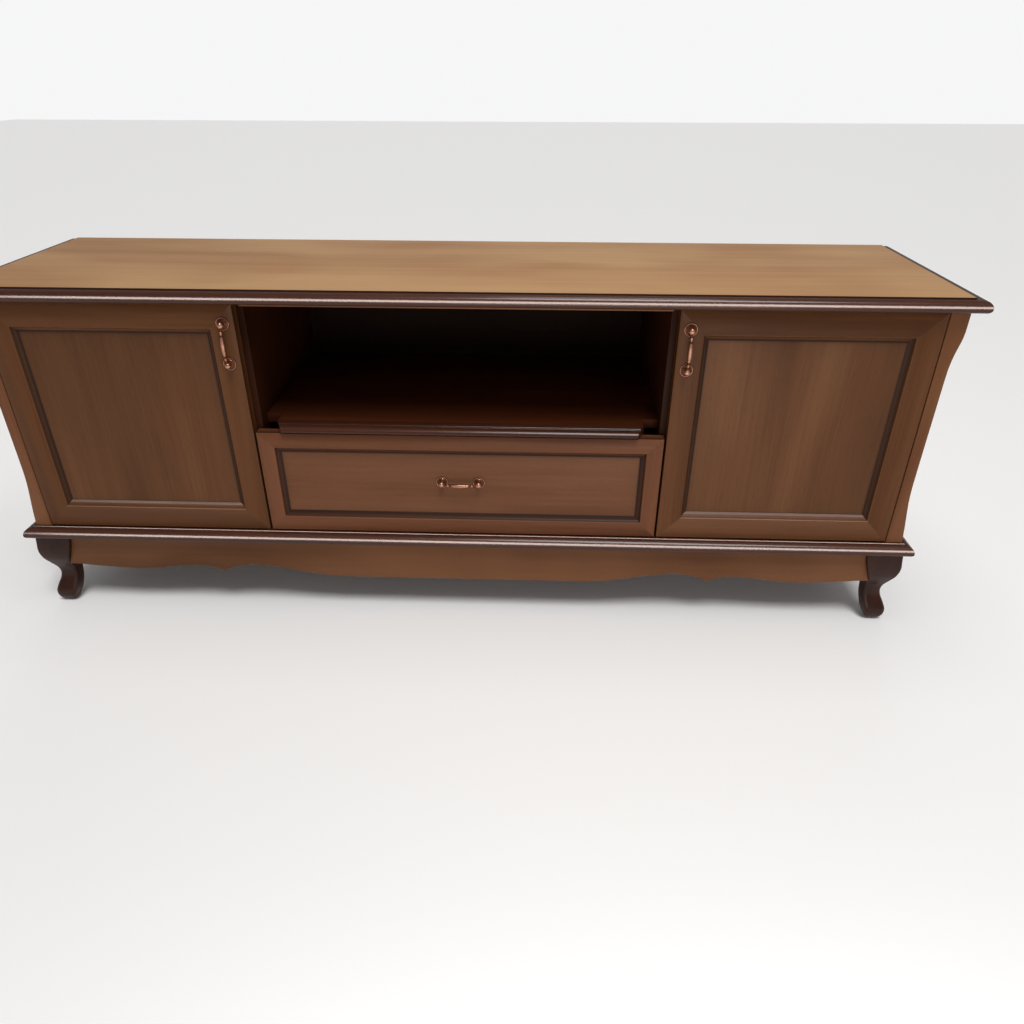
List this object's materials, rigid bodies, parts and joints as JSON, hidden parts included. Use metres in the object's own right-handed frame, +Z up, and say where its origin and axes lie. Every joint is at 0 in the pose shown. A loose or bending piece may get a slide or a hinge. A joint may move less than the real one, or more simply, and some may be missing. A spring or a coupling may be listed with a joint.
{
  "type": "tv stand with doors",
  "caption": "Low wooden media cabinet on cabriole legs with hinged side doors, an open centre niche over a sliding drawer, moulded edges and bow handles.",
  "frame": {"origin": "on the floor, under the middle of the cabinet's bounding box", "axes": "+X to the right when facing the doors (the long way), the doors and drawer face -Y, +Z up"},
  "size_m": [1.6, 0.42, 0.59],
  "materials": {
    "walnut_top": "satin",
    "walnut_moulding": "semi-gloss",
    "walnut_panel": "satin",
    "walnut_frame": "satin",
    "walnut_carcass": "satin",
    "back_board": "matte",
    "drawer_board": "matte",
    "antique_copper": "antique",
    "zinc_steel": "satin",
    "brass": "satin",
    "catch_plastic": "matte"
  },
  "bodies": {
    "case": {"top_panel": "walnut_top", "top_moulding_front": "walnut_moulding", "top_moulding_left": "walnut_moulding", "top_moulding_right": "walnut_moulding", "bottom_panel": "walnut_carcass", "base_moulding_front": "walnut_moulding", "base_moulding_left": "walnut_moulding", "base_moulding_right": "walnut_moulding", "post_front_left": "walnut_frame", "post_front_right": "walnut_frame", "post_back_left": "walnut_frame", "post_back_right": "walnut_frame", "side_panel_left": "walnut_frame", "side_panel_right": "walnut_frame", "partition_left": "walnut_carcass", "partition_right": "walnut_carcass", "cupboard_shelf_left": "walnut_carcass", "cupboard_shelf_right": "walnut_carcass", "shelf_pins": "zinc_steel", "back_panel": "back_board", "niche_shelf": "walnut_carcass", "niche_shelf_nosing": "walnut_moulding", "niche_top_rail": "walnut_frame", "leg_front_left": "walnut_frame", "leg_front_right": "walnut_frame", "leg_back_left": "walnut_frame", "leg_back_right": "walnut_frame", "apron_front": "walnut_frame", "apron_back": "walnut_frame", "side_aprons": "walnut_frame", "pivot_plates": "zinc_steel", "door_catches": "catch_plastic", "runner_outer_members": "zinc_steel"},
    "left_door": {"left_door_stile_outer": "walnut_frame", "left_door_stile_inner": "walnut_frame", "left_door_rail_top": "walnut_frame", "left_door_rail_bottom": "walnut_frame", "left_door_panel": "walnut_panel", "left_door_bushes": "brass", "left_door_strike": "zinc_steel", "left_door_handle": "antique_copper"},
    "right_door": {"right_door_stile_outer": "walnut_frame", "right_door_stile_inner": "walnut_frame", "right_door_rail_top": "walnut_frame", "right_door_rail_bottom": "walnut_frame", "right_door_panel": "walnut_panel", "right_door_bushes": "brass", "right_door_strike": "zinc_steel", "right_door_handle": "antique_copper"},
    "drawer": {"drawer_front_stiles": "walnut_frame", "drawer_front_rails": "walnut_frame", "drawer_front_panel": "walnut_panel", "drawer_box_front": "drawer_board", "drawer_box_back": "drawer_board", "drawer_side_left": "drawer_board", "drawer_side_right": "drawer_board", "drawer_floor": "drawer_board", "drawer_handle": "antique_copper", "runner_inner_members": "zinc_steel"},
    "runner_middles": {"runner_middle_members": "zinc_steel"}
  },
  "joints": [
    {"name": "left_door_hinge", "type": "hinge", "parent": "case", "child": "left_door", "pos_m": [-0.7395, -0.185, 0.368], "axis": [0, 0, -1], "range_deg": [0, 110]},
    {"name": "right_door_hinge", "type": "hinge", "parent": "case", "child": "right_door", "pos_m": [0.7395, -0.185, 0.368], "axis": [0, 0, 1], "range_deg": [0, 110]},
    {"name": "drawer_slide", "type": "slide", "parent": "case", "child": "drawer", "axis": [0, -1, 0], "range_m": [0, 0.3]},
    {"name": "runner_middle_slide", "type": "slide", "parent": "case", "child": "runner_middles", "axis": [0, -1, 0], "range_m": [0, 0.15]}
  ],
  "couplings": [
    {"joint": "runner_middle_slide", "follows": "drawer_slide", "ratio": 0.5}
  ]
}
